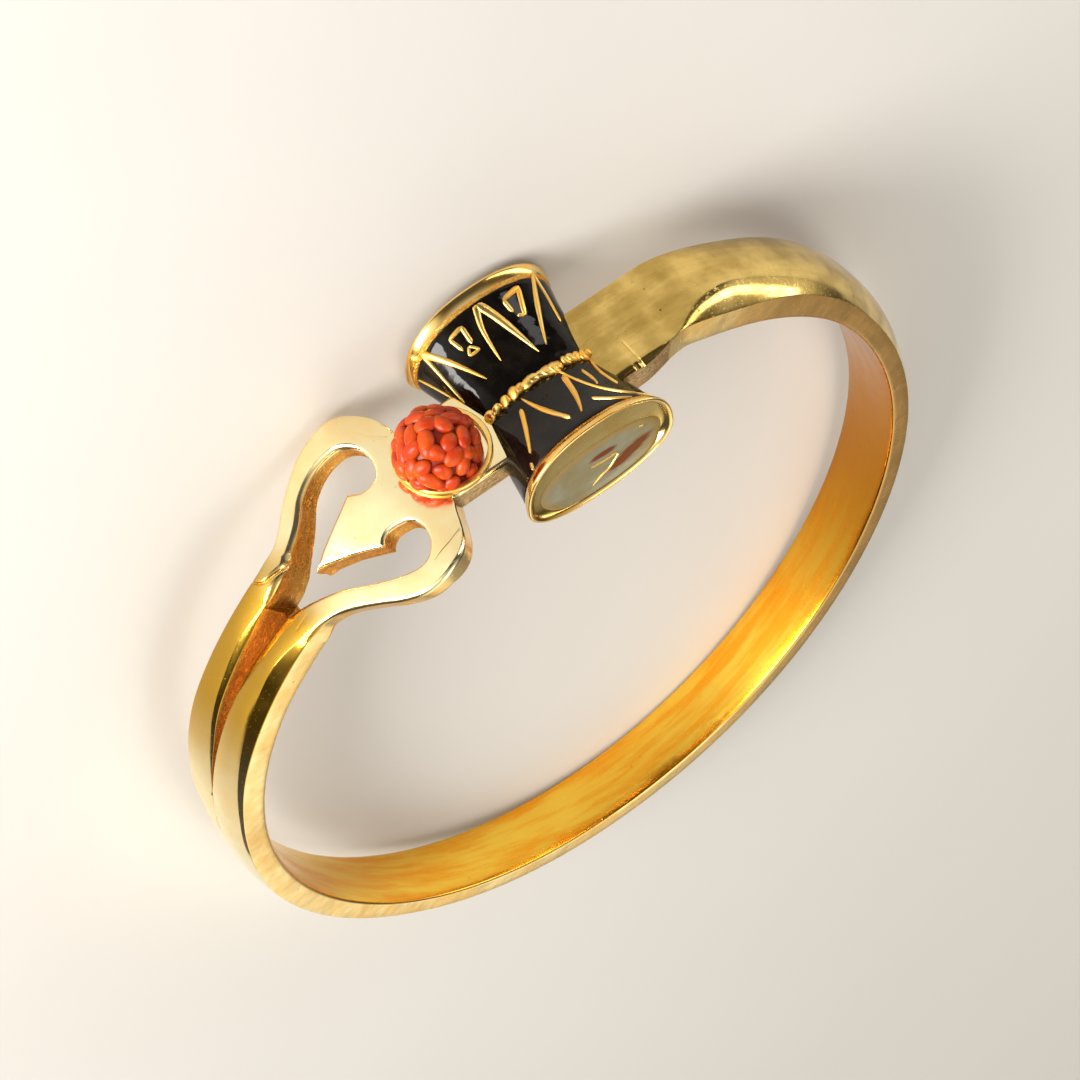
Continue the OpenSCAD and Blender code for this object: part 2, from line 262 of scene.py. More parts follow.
class Finish(Tree):
    """A material under construction."""

    def __init__(self, name):
        self.material = bpy.data.materials.new(name)
        self.material.use_nodes = True
        super().__init__(self.material.node_tree)
        self.tree.nodes.clear()
        self.shader = self.add("ShaderNodeBsdfPrincipled")
        self.add("ShaderNodeOutputMaterial", {"Surface": self.shader.outputs[0]})
        self.coord = self.add("ShaderNodeTexCoord").outputs["Object"]

    def mapped(self, scale, turn=(0, 0, 0)):
        """Object coordinates in millimetres, stretched and turned."""
        inputs = {"Vector": self.coord, "Scale": [s / MM for s in scale], "Rotation": turn}
        return self.add("ShaderNodeMapping", inputs).outputs[0]

    def ring_angle(self):
        """Direction round the ring in radians, half a turn less the degrees of the tables, and X, Y, Z."""
        x, y, z = self.add("ShaderNodeSeparateXYZ", {0: self.coord}).outputs
        return self.math("ARCTAN2", x, y), x, y, z

    def zone(self, start, full, last_full, end):
        """1 on a stretch of the ring, given in degrees, fading to 0 at both ends."""
        a, b, c, d = (math.radians(180 - deg) for deg in (start, full, last_full, end))
        angle = self.ring_angle()[0]
        return self.times(self.ramp(angle, b, a, 1.0, 0.0), self.ramp(angle, d, c))

    def around(self, stretch):
        """Millimetres along a ring of radius 32, outwards and across, each stretched."""
        angle, x, y, z = self.ring_angle()
        out = self.math("SQRT", self.plus(self.times(x, x), self.times(y, y)), 0.0)
        place = zip((angle, out, z), (32, 1 / MM, 1 / MM), stretch)
        inputs = {i: self.times(value, scale * s) for i, (value, scale, s) in enumerate(place)}
        return self.add("ShaderNodeCombineXYZ", inputs).outputs[0]

    def texture(self, vector, detail, rough, warp=0.0):
        inputs = {"Vector": vector, "Scale": 1.0, "Detail": detail, "Roughness": rough, "Distortion": warp}
        return self.add("ShaderNodeTexNoise", inputs).outputs["Fac"]

    def stripes(self, stretch, detail):
        """Uneven lines that run along the ring."""
        return self.texture(self.around(stretch), detail, 0.6)

    def noise(self, scale, detail, stretch=(1, 1, 1), turn=(0, 0, 0), rough=0.5, warp=0.0):
        """Clouds, about scale of them to a millimetre."""
        return self.texture(self.mapped([scale * s for s in stretch], turn), detail, rough, warp)

    def spots(self, scale, low, high):
        """Small round marks: 1 at their middle, 0 away from them."""
        cells = self.add("ShaderNodeTexVoronoi", {"Vector": self.mapped([scale] * 3), "Scale": 1.0})
        return self.ramp(cells.outputs["Distance"], low, high, 1.0, 0.0)

    def mix(self, share, a, b):
        """Colour a where share is 0, colour b where it is 1."""
        return self.add("ShaderNodeMix", {"Factor": share, 6: a, 7: b}, data_type="RGBA").outputs[2]

    def bump(self, height, depth, before=None):
        """Depth is in millimetres for a height of 1."""
        inputs = {"Strength": 1.0, "Distance": depth * MM, "Height": height}
        if before is not None:
            inputs["Normal"] = before
        return self.add("ShaderNodeBump", inputs).outputs["Normal"]

    def done(self, **inputs):
        """Fills in the shader, with _ for each space in a name."""
        for key, value in inputs.items():
            self.put(self.shader.inputs[key.replace("_", " ")], value)
        return self.material


def polished_gold(name, light, deep, rough, scratch=1.0, pits=1.0, wave=1.0, run=0.0, zone=None):
    """Gilding. run is the share of streaks along the ring; zone is a colour of painted shade and its stretch
    of the ring.
    """
    n = Finish(name)
    patch = n.ramp(n.noise(0.28, 3), 0.35, 0.65)
    if run:
        streak = n.ramp(n.stripes((0.12, 0.5, 1.1), 5), 0.36, 0.64)
        patch = n.plus(n.times(streak, run), n.times(patch, 1 - run))
    hair = n.ramp(n.noise(1.0, 4, (0.5, 6.0, 5.0), (0.3, 0.5, 0.6), 0.65), 0.60, 0.74)
    cross_hair = n.ramp(n.noise(1.0, 3, (7.0, 0.6, 5.0), (0.1, 0.2, -0.35), 0.6), 0.63, 0.78)
    dots = n.spots(0.5, 0.02, 0.075)
    colour = n.mix(patch, light, deep)
    # the zone's colour is painted shade laid over a stretch of the ring
    if zone:
        tint, stretch = zone
        colour = n.mix(n.zone(*stretch), colour, tint)
    colour = n.mix(n.times(dots, 0.5 * pits), colour, tuple(0.35 * c for c in deep))
    worn = n.times(n.math("MAXIMUM", hair, cross_hair), 0.22 * scratch)
    roughness = n.plus(n.plus(n.times(patch, 0.5 * rough), worn), 0.75 * rough)
    normal = n.bump(n.noise(0.32, 2), 0.035 * wave)
    normal = n.bump(n.noise(1.4, 3), 0.0035 * wave, normal)
    normal = n.bump(hair, -0.0022 * scratch, normal)
    normal = n.bump(cross_hair, -0.0016 * scratch, normal)
    normal = n.bump(dots, -0.02 * pits, normal)
    return n.done(Base_Color=colour, Metallic=1.0, Roughness=roughness, Normal=normal)


def cast_wall(name, colours, depth, groove=None):
    """Rough metal with lines along the ring, in three colours from dark to light, with lighter specks as
    painted glints, and darker colours in the groove as painted shade.
    """
    n = Finish(name)
    # the groove's darker colours are painted shade
    if groove:
        share = n.zone(42.8, 44.8, 120, 130)
        colours = [n.mix(share, a, b) for a, b in zip(colours, groove)]
    dark, mid, light = colours
    lines = n.ramp(n.stripes((1.6, 4.0, 4.0), 5), 0.32, 0.68)
    band = n.ramp(n.stripes((0.15, 1.1, 1.1), 2), 0.38, 0.62)
    grain = n.noise(8.0, 4, rough=0.7)
    # lighter specks of colour are painted glints
    glint_specks = n.times(n.ramp(band, 0, 1, 0.4, 1.0), n.ramp(grain, 0.44, 0.64, 0.0, 0.9))
    colour = n.mix(glint_specks, n.mix(lines, dark, mid), light)
    normal = n.bump(grain, 0.022, n.bump(lines, depth))
    return n.done(Base_Color=colour, Metallic=1.0, Roughness=n.ramp(lines, 0, 1, 0.42, 0.24), Normal=normal)


def black_enamel(name):
    n = Finish(name)
    cloud = n.ramp(n.noise(0.7, 4), 0.35, 0.7)
    colour = n.mix(cloud, (0.0030, 0.0025, 0.0022), (0.010, 0.007, 0.005))
    colour = n.mix(n.times(n.spots(2.2, 0.03, 0.1), 0.4), colour, (0.08, 0.05, 0.03))
    normal = n.bump(n.noise(2.6, 3), 0.004, n.bump(n.noise(0.55, 2), 0.05))
    return n.done(Base_Color=colour, Roughness=n.ramp(cloud, 0, 1, 0.05, 0.10), IOR=1.31, Normal=normal)


def oval_distance(n, x, y, wide, high, lean=0.0):
    """Distance from a point of the drum's end, as a share of an oval's half width and half height."""
    middle = laid_down @ Vector((DRUM_X + x, DRUM_Y + y, 0))
    shift = n.vector("SUBTRACT", {0: n.coord, 1: middle})[0]
    # the last scale is so large that the height over the plate doesn't count
    inputs = {"Vector": shift, "Rotation": (0, 0, lean), "Scale": (wide * MM, high * MM, 1000)}
    turned = n.add("ShaderNodeMapping", inputs, vector_type="TEXTURE").outputs[0]
    return n.vector("LENGTH", {0: turned})["Value"]


def pale_enamel(name):
    """Sage grey enamel that turns olive at its edge as painted shade, with two brown smears."""
    n = Finish(name)
    cloud = n.ramp(n.noise(0.28, 3, warp=0.5), 0.35, 0.65)
    pearl = n.noise(1.0, 4, (0.5, 2.2, 1.0), (0, 0, 0.5), 0.6)
    colour = n.mix(cloud, (0.22, 0.18, 0.075), (0.24, 0.22, 0.14))
    colour = n.mix(n.ramp(pearl, 0.56, 0.8, 0.0, 0.4), colour, (0.42, 0.42, 0.30))
    edge = n.plus(oval_distance(n, -0.5, 1.35, 6.3, 3.1), n.times(n.noise(0.35, 2), 0.25))
    # olive towards the edge is painted shade, the same as on the lip beside it
    colour = n.mix(n.ramp(edge, 0.80, 1.10), colour, (0.27, 0.17, 0.035))
    brown = 0.0
    for smear in ((-3.1, 2.0, 2.4, 0.75, 0.36), (-0.85, 0.1, 1.4, 0.40, -0.1)):
        away = n.plus(oval_distance(n, *smear), n.times(pearl, 0.9))
        brown = n.math("MAXIMUM", n.ramp(away, 1.05, 1.6, 0.95, 0.0), brown)
    colour = n.mix(brown, colour, n.mix(pearl, (0.22, 0.045, 0.004), (0.10, 0.016, 0.002)))
    return n.done(Base_Color=colour, Roughness=n.ramp(pearl, 0.3, 0.8, 0.12, 0.24), IOR=1.4,
                  Normal=n.bump(n.noise(0.5, 3), 0.05), Specular_IOR_Level=n.ramp(brown, 0, 1, 0.5, 0.1))


def seed_skin(name):
    """Orange red on the lobes, with painted shade darkening the clefts between them."""
    n = Finish(name)
    cleft, crown = 2.85, 3.35
    away = n.vector("DISTANCE", {0: n.coord, 1: laid_down @ SEED_AT})["Value"]
    tint = n.ramp(n.noise(0.6, 2), 0.35, 0.65)
    fibre = n.ramp(n.noise(5.0, 4, rough=0.65), 0.45, 0.75, 0.0, 0.45)
    skin = n.mix(fibre, n.mix(tint, (0.43, 0.028, 0.001), (0.57, 0.066, 0.002)), (0.40, 0.020, 0.002))
    # towards the seed's middle, in the clefts, the colour darkens as painted shade
    colour = n.mix(n.ramp(away, cleft * MM, crown * MM), (0.17, 0.009, 0.001), skin)
    roughness = n.ramp(fibre, 0, 0.45, 0.34, 0.46)
    return n.done(Base_Color=colour, Roughness=roughness, IOR=1.38, Normal=n.bump(n.noise(4.0, 4), 0.02))


def pale_floor(name):
    n = Finish(name)
    colour = n.mix(n.noise(0.02, 3), (0.66, 0.635, 0.60), (0.72, 0.70, 0.67))
    return n.done(Base_Color=colour, Roughness=0.62, Normal=n.bump(n.noise(1.1, 4), 0.01))


# From 36 to 84 degrees round, over the strands, the polished gilding is painted darker: painted shade and
# dark reflection
GOLD = polished_gold("gilt_polished", (1.0, 0.89, 0.54), (1.0, 0.80, 0.40), 0.15, pits=0.6,
                     zone=((0.50, 0.29, 0.035), (36, 45, 60, 84)))
GOLD_BAND = polished_gold("gilt_filed", (0.88, 0.64, 0.21), (0.48, 0.32, 0.08), 0.13, scratch=4.0, pits=1.3,
                          run=0.25)
# Inside the ring the gilding is a deeper orange, partly its plating and partly painted reflection of gold in
# gold; from 205 to 325 degrees round it is painted darker as painted shade
GOLD_IN = polished_gold("gilt_inside", (1.0, 0.66, 0.08), (0.97, 0.41, 0.02), 0.20, scratch=0.7, pits=0.6,
                        wave=1.5, run=0.85, zone=((0.52, 0.22, 0.015), (205, 255, 300, 325)))
# On the sides from 170 to 338 degrees round a darker copper is painted: painted shade and reflection
GOLD_SIDE = polished_gold("gilt_side", (1.0, 0.78, 0.37), (0.96, 0.64, 0.22), 0.2, scratch=1.2, pits=0.5,
                          wave=1.6, zone=((0.56, 0.33, 0.10), (170, 245, 316, 338)))
GOLD_SMALL = polished_gold("gilt_small", (1.0, 0.74, 0.30), (0.94, 0.56, 0.14), 0.13, scratch=0.6, pits=0.3)
GOLD_LINE = polished_gold("gilt_line", (1.0, 0.70, 0.22), (1.0, 0.58, 0.12), 0.36, scratch=0.3, pits=0.0,
                          wave=2.0)
# The drum ends' sunken lip is a darker olive copy of the gilding: painted shade
OLIVE_SHADE = polished_gold("gilt_olive_shaded", (0.72, 0.55, 0.20), (0.50, 0.34, 0.08), 0.24, scratch=0.6, pits=0.2)
# The cast walls' lighter specks are painted glints; in the groove their darker colours are painted shade
WALL = cast_wall("gilt_cast_wall", ((0.74, 0.28, 0.035), (1.0, 0.50, 0.08), (1.0, 0.74, 0.22)), 0.03,
                 groove=((0.42, 0.19, 0.04), (0.74, 0.39, 0.09), (1.0, 0.72, 0.27)))
# The bar's sides are dull dark brown: rougher cast metal, its darkness partly painted shade
DULL_SHADED = cast_wall("gilt_dull_shaded_side", ((0.34, 0.19, 0.07), (0.66, 0.42, 0.18), (0.95, 0.74, 0.42)), 0.02)
BLACK = black_enamel("enamel_black")
PALE = pale_enamel("enamel_pale")


# The ring's inner contour, as X and Y by direction
def ring_point(deg):
    a = np.radians(deg)
    from_swell = np.mod(deg + 180, 360) - 180 + 50
    r = (31.75 + 0.456 * np.cos(2 * a) + 0.327 * np.sin(2 * a) - 0.362 * np.cos(3 * a)
         + 0.5 * bell(from_swell, 17))
    return np.stack([r * np.sin(a), -r * np.cos(a)], -1)


def ring_normal(deg):
    """Unit direction outwards."""
    t = ring_point(deg + 0.05) - ring_point(deg - 0.05)
    return unit(np.stack([t[..., 1], -t[..., 0]], -1))


# Section of the band by direction. Heights are over the inner contour, widths from the middle.
BAND_FROM, BAND_TO = 44.4, 358.0
side_h = along([
    (40, 2.35), (60, 2.42), (70, 2.45), (78, 2.28), (88, 2.2), (104, 2.28), (120, 2.1), (140, 1.75),
    (180, 1.8), (240, 1.85), (280, 1.9), (298, 1.9), (309, 2.3), (318, 2.65), (324, 2.62), (330, 2.35),
    (350, 2.6)], 1.5)
far_side_h = along([
    (40, 3.3), (66, 3.2), (79, 2.6), (90, 2.2), (104, 2.1), (120, 2.0), (180, 1.8), (240, 1.85), (285, 2.2),
    (300, 2.75), (315, 3.15), (350, 3.3)], 3)
crown_h = along([
    (70, 3.1), (85, 2.95), (92, 2.8), (106, 2.72), (120, 2.6), (180, 2.45), (240, 2.6), (280, 2.95),
    (300, 3.35), (318, 3.8), (335, 3.9), (350, 3.9)], 4)
near_w = along([
    (40, 3.2), (80, 3.2), (90, 3.05), (120, 2.9), (180, 2.72), (290, 2.95), (340, 3.0), (345.5, 3.7),
    (350, 3.74)], 1.2)
far_w = along([
    (40, 3.3), (70, 3.25), (90, 3.05), (120, 2.85), (180, 2.72), (290, 3.15), (315, 3.4), (328, 3.6),
    (338, 3.8), (350, 3.8)], 3)
# Strands: facet at the near edge, then the edges on both sides of the groove, and its floor
facet_h = along([
    (40, 2.3), (45, 2.6), (48, 3.2), (51, 3.3), (56, 3.05), (60, 3.0), (66, 2.85), (72, 2.7), (80, 2.5),
    (90, 2.4)], 1.2)
facet_w = along([
    (40, 0.35), (45, 0.5), (48, 0.85), (56, 0.9), (62, 0.75), (70, 0.5), (78, 0.2), (90, 0.15)], 1.5)
near_edge_h = along([
    (40, 2.1), (43, 2.2), (45, 2.5), (48, 2.75), (52, 3.0), (58, 3.2), (66, 3.18), (78, 3.1), (84, 2.95),
    (90, 2.85)], 1.0)
near_gap = along([(40, 0.72), (44, 0.62), (50, 0.45), (60, 0.30), (72, 0.16), (84, 0.06)], 1.5)
far_top_h = along([
    (40, 4.0), (62, 4.1), (66, 3.95), (70, 3.78), (74, 3.5), (79, 3.2), (85, 2.85), (92, 2.65)], 1.5)
far_edge_h = along([
    (40, 3.9), (46, 3.85), (55, 3.7), (60, 3.65), (64, 3.45), (68, 3.15), (72, 3.05), (80, 2.95),
    (90, 2.85)], 1.2)
far_gap = along([(40, 0.95), (44, 0.72), (50, 0.58), (60, 0.45), (68, 0.28), (76, 0.18), (86, 0.08)], 1.5)
far_bevel = along([
    (40, 0), (44.6, 0.02), (47, 0.24), (50, 0.40), (53, 0.34), (58, 0.24), (66, 0.16), (72, 0.05),
    (76, 0)], 1.2)
floor_h = along([
    (40, 0.0), (45, 0.0), (48, 0.8), (51, 1.35), (54, 1.75), (60, 2.2), (68, 2.5), (76, 2.68), (84, 2.82),
    (90, 2.85)], 1.0)
LEAST_GAP = 0.03
GROOVE_END = 87
STRANDS_FADE = (80, 96)
BEVEL_RISE = 0.86


def half_top(deg, near, hs, w):
    """Outer edge of half a section, from its shoulder at (hs, w) to the middle: heights and places across."""
    gap = max(LEAST_GAP, (near_gap if near else far_gap)(deg))
    if near:
        knee, edge_h, slope = (facet_h(deg), w - facet_w(deg)), near_edge_h(deg), 0.0
        swell, bevel, power = 0.16, 0.10, 2.0
    else:
        knee, edge_h, slope = (far_top_h(deg), w - 0.50), far_edge_h(deg), far_bevel(deg)
        swell, bevel, power = 0.10, 0.12, 2.8
    edge = (edge_h + BEVEL_RISE * slope, gap + slope)
    rows = [(hs + (knee[0] - hs) * t, w + (knee[1] - w) * t) for t in (0, 0.25, 0.5, 0.75, 1)]
    for t in (0.1, 0.22, 0.34, 0.46, 0.58, 0.7, 0.81, 0.91):
        h = knee[0] + (edge[0] - knee[0]) * t + swell * 4 * t * (1 - t)
        rows.append((h, knee[1] + (edge[1] - knee[1]) * t))
    rows.append((edge[0] - 0.03 * slope, edge[1] - 0.06 * slope))
    split = 1 - step(*STRANDS_FADE, deg)
    crown = crown_h(deg)

    def blended(h, z):
        """From the strand's height to the height of the plain domed band."""
        return split * h + (1 - split) * (hs + (crown - hs) * (1 - (z / w) ** power))

    top = blended(edge_h, gap)
    deep = (1 - step(GROOVE_END - 10, GROOVE_END, deg)) * (top - min(top, floor_h(deg)))
    low = top - deep
    lean = step(BAND_FROM, 50, deg)
    bevel = min(bevel, 0.8 * deep) * lean
    sides = [(top - bevel, 0.10), (low + 0.3 * (deep - bevel), 0.18), (low + 0.06 * deep, 0.30)]
    groove = [(top, gap)] + [(h, gap * (1 - lean * share)) for h, share in sides] + [(low, 0)]
    return [(blended(h, z), z) for h, z in rows] + groove


# Edges of half a section that are inside, at the side and, last, in the groove
INSIDE_EDGES, SIDE_EDGES, GROOVE_EDGES = 6, 5, 12
SHOULDER = INSIDE_EDGES + SIDE_EDGES
GROOVE_POINTS = 16
# Finishes, and where the outside is filed and the near side is left unpolished, in a dark brown that is
# partly painted shade
POLISHED, INSIDE, CAST, FILED, SIDE, UNPOLISHED_SHADED = range(6)
FILED_FROM = 285
UNPOLISHED_FROM = 341


def half_line(deg, near, shoulder=0.16):
    """One half of a section, from the middle of the inside round to the middle of the groove."""
    w = (near_w if near else far_w)(deg)
    hs = (side_h if near else far_side_h)(deg)
    hollow = 0.24 * (step(46, 58, deg) * (1 - step(322, 336, deg)))
    line = [(hollow * x**2.4, x * w) for x in (0.0, 0.3, 0.6, 0.82, 1.0)]
    line += [(0.35 * hs, w), (0.65 * hs, w)] + half_top(deg, near, hs, w)
    knee = 0.5 - 0.38 * ((1 - step(64, 80, deg)) if near else 0)
    radii = [0] * 4 + [0.30, 0, 0, shoulder] + [0] * 3 + [knee] + [0] * 9 + [0.1, 0.08, 0.1, 0.1, 0]
    p = fillet(line, radii, 4)
    if not near:
        p[:, 1] *= -1
    return p


def section(deg):
    """One closed section of the band, near side first, and the finish of each of its edges."""
    a, b = half_line(deg, True), half_line(deg, False)
    top = FILED if deg > FILED_FROM else POLISHED
    groove = CAST if deg < GROOVE_END else top
    outside = [top] * (len(a) - 1 - SHOULDER - GROOVE_EDGES) + [groove] * GROOVE_EDGES
    near_side = UNPOLISHED_SHADED if deg > UNPOLISHED_FROM else SIDE
    near, far = ([INSIDE] * INSIDE_EDGES + [side] * SIDE_EDGES + outside for side in (near_side, SIDE))
    return np.vstack([a, b[::-1][1:-1]]), near + far[::-1]


def level_front(x):
    """How far out the flat front reaches: a little further past the drum."""
    return -FLAT_Y + 0.38 * (1 - step(-6.2, -3.6, x))


# Two short engraved lines beside the drum: place along X, width and depth
BAR_LINES = ((-7.75, 0.10, 0.12), (-7.2, 0.08, 0.07))


def lifted(deg, loop):
    """Places a section on the ring, cuts it off at the flat front and engraves the lines there."""
    h, z = loop.T
    x, y = (ring_point(deg) + h[:, None] * ring_normal(deg)).T
    y_in = -soft_min(-y, -FLAT_IN_Y, 0.25)
    y_out = -soft_min(-y, level_front(x), 1.5 - 1.35 * step(330, 344, deg))
    y = np.where(h < 0.34, y_in, y_out)
    if deg > 300:
        cut = sum(depth * bell(x - at, wide) for at, wide, depth in BAR_LINES)
        dropped_edge = 0.30 * step(2.9, 3.74, z) ** 2
        y = y + np.where(h > 1.5, cut * step(0.4, 0.9, z), 0)
        y = y + np.where(h > 1.5, dropped_edge, 0)
    return np.column_stack([x, y, z])


band = Lump()
degs = np.concatenate([np.arange(BAND_FROM, 60, 0.35), np.arange(60, 343, 0.75), np.arange(343, 349, 0.09),
                       np.arange(349, BAND_TO + 0.01, 0.6)])
loops, kinds = zip(*(section(deg) for deg in degs))
band.skin([lifted(deg, loop) for deg, loop in zip(degs, loops)], finish=kinds[:-1])


# Trident head and front bar: edges as (degrees round the ring, distance across)
FAR_EDGE = [
    (17.3, -3.8), (17.35, -4.2), (17.6, -4.9), (18.0, -5.6), (18.6, -6.25), (19.5, -6.85), (21.0, -7.55),
    (22.3, -7.85), (23.7, -8.0), (25.0, -8.02), (26.6, -7.94), (28.3, -7.75), (29.8, -7.48), (31.6, -6.9),
    (33.2, -6.35), (34.5, -5.8), (35.7, -5.2), (36.9, -4.55), (38.1, -3.95), (39.4, -3.5), (41.2, -3.32),
    (42.8, -3.3), (BAND_FROM, -3.3)]
NEAR_EDGE = [
    (17.3, 3.8), (17.45, 4.1), (18.0, 4.75), (18.7, 5.82), (19.6, 6.87), (20.8, 7.70), (22.4, 8.28),
    (24.4, 8.58), (26.5, 8.61), (28.7, 8.30), (31.5, 7.25), (33.7, 6.12), (36.0, 5.0), (38.5, 3.95),
    (40.9, 3.35), (42.6, 3.22), (BAND_FROM, 3.2)]
FAR_HOLE = [
    (BAND_FROM, -0.735), (42.6, -0.82), (41.2, -1.05), (40.0, -1.32), (39.0, -1.70), (38.1, -2.08),
    (37.1, -2.48), (35.9, -2.95), (34.9, -3.42), (33.8, -4.03), (32.7, -4.62), (31.3, -5.1), (29.9, -5.43),
    (28.5, -5.63), (27.1, -5.68), (25.9, -5.62), (25.0, -5.50), (24.0, -5.15), (23.1, -4.65), (22.55, -4.0),
    (22.4, -3.2), (22.6, -2.45), (23.2, -1.8), (24.0, -1.41), (25.0, -1.33), (26.1, -1.46), (27.0, -1.88),
    (27.7, -2.24)]
SPEAR = [
    (27.7, -2.24), (30.5, -1.50), (32.3, -1.06), (34.6, -0.52), (37.3, 0.22), (36.0, 0.42), (32.5, 1.50),
    (28.5, 3.12)]
NEAR_HOLE = [
    (28.5, 3.12), (28.0, 2.78), (27.3, 2.58), (26.5, 2.52), (25.1, 2.74), (24.0, 3.07), (23.35, 3.65),
    (23.1, 4.47), (23.5, 5.34), (24.3, 5.96), (25.4, 6.38), (26.7, 6.42), (28.7, 5.98), (31.2, 5.08),
    (34.1, 3.78), (36.4, 2.68), (39.2, 1.71), (41.4, 1.10), (42.9, 0.80), (BAND_FROM, 0.62)]
BAR_FROM, BAR_TO = -4.6, 17.2
BAR_HALF = 3.75
top_far = along([
    (-20, 2.3), (30, 2.35), (34, 2.55), (37, 2.95), (39, 3.35), (41, 3.75), (43, 4.02), (50, 4.05)], 0.6)
top_near = along([(-20, 2.15), (38, 2.12), (42, 2.25), (46, 2.6)], 0.8)
# The head's flat pattern: millimetres along the ring from its middle, and across
ARC = 0.58
MIDDLE = 31


def degrees_at(co):
    return co[:, 0] / ARC + MIDDLE


def laid(points):
    """Points given by degrees and distance across, in the flat pattern."""
    return np.array([((deg - MIDDLE) * ARC, z) for deg, z in points])


def dense(points, gap):
    """Adds points on the straight stretches of an open line."""
    out = [points[0]]
    for a, b in zip(points, points[1:]):
        n = max(1, math.ceil(np.linalg.norm(b - a) / gap))
        out += [a + (b - a) * k / n for k in range(1, n + 1)]
    return np.array(out)


def curve(points):
    return dense(catmull(laid(points), 6), 0.32)


far_bar = dense(laid([(BAR_FROM, -BAR_HALF), (BAR_TO, -BAR_HALF)]), 0.5)
near_bar = dense(laid([(BAR_TO, BAR_HALF), (BAR_FROM, BAR_HALF)]), 0.5)
far_line = np.vstack([far_bar, curve(FAR_EDGE)])
hole_line = np.vstack([curve(FAR_HOLE)[:-1], dense(laid(SPEAR), 0.3)[:-1], curve(NEAR_HOLE)])
near_line = np.vstack([curve(NEAR_EDGE)[::-1], near_bar])
rim = np.vstack([far_line, hole_line, near_line])
FOLD = [(38.6, -2), (39.2, -1.78), (40.6, -1.84), (42.0, -1.98), (42.8, -2.35), (43.3, -2.85), (43.6, -3.28)]
fold_line = dense(catmull(laid(FOLD), 5), 0.12)
scratches = [dense(laid(points), 0.12) for points in (
    [(21.0, -5.5), (20.1, -4.6), (18.7, -3.8)],
    [(19.7, 6.3), (21.9, 6.75), (24.7, 7.05)],
    [(41.9, 1.8), (43.2, 1.9), (44.3, 2.05)],
)]
SCRATCH_DEPTH, SCRATCH_WIDTH = 0.036, 0.055


def inside(points, loop):
    """Whether points lie in a closed loop."""
    x, y = points.T
    got = np.zeros(len(points), bool)
    for (x0, y0), (x1, y1) in zip(loop, np.roll(loop, -1, 0)):
        crosses = (y0 > y) != (y1 > y)
        with np.errstate(divide="ignore", invalid="ignore"):
            at = (x1 - x0) * (y - y0) / (y1 - y0) + x0
        got ^= crosses & (x < at)
    return got


def distance(points, line):
    """Distance to an open line."""
    best = np.full(len(points), 1e9)
    for p, q in zip(line, line[1:]):
        d = q - p
        t = np.clip(((points - p) @ d) / max(d @ d, 1e-12), 0, 1)
        best = np.minimum(best, np.linalg.norm(points - p - t[:, None] * d, axis=1))
    best[best < 1e-4] = 0
    return best


def rounded_off(d, r):
    """How much lower a face is at a distance from its edge, which is rounded by a radius."""
    d = np.minimum(d, r)
    return r - np.sqrt(np.maximum(r * r - (r - d) ** 2, 0))


def section_top(deg, z, shoulder):
    """Height of a section's outer side at distances across."""
    row = np.zeros(len(z))
    for near, sign in ((True, 1), (False, -1)):
        top = half_line(deg, near, shoulder)[SHOULDER:-GROOVE_POINTS]
        here = z * sign >= 0
        row[here] = np.interp(z[here] * sign, top[::-1, 1] * sign, top[::-1, 0])
    return row


# Heights of the band's own section near the neck, for the head to run into, and its points on the seam
NECK_STEP = 0.4
NECK = np.arange(36, 46.6, NECK_STEP)
ACROSS = np.linspace(-3.6, 3.6, 289)
neck_rows = np.array([section_top(deg, ACROSS, 0.001) for deg in NECK])
SEAM = laid([(BAND_FROM, z) for h, z in section(BAND_FROM)[0]
             if h > 1.6 and (0.66 < z < 3.19 or -3.29 < z < -0.76)])


def neck_h(deg, z):
    i = np.clip((deg - NECK[0]) / NECK_STEP, 0, len(NECK) - 1.001)
    j = np.clip((z - ACROSS[0]) / (ACROSS[1] - ACROSS[0]), 0, len(ACROSS) - 1.001)
    a, b = i.astype(int), j.astype(int)
    u, v = i - a, j - b
    low = neck_rows[a, b] * (1 - u) * (1 - v) + neck_rows[a + 1, b] * u * (1 - v)
    return low + neck_rows[a, b + 1] * (1 - u) * v + neck_rows[a + 1, b + 1] * u * v


def from_outline(co):
    return np.minimum(distance(co, far_line), distance(co, near_line))


def head_place(co, height):
    """Points over the ring at the given heights."""
    deg = degrees_at(co)
    return np.column_stack([ring_point(deg) + height[:, None] * ring_normal(deg), co[:, 1]])


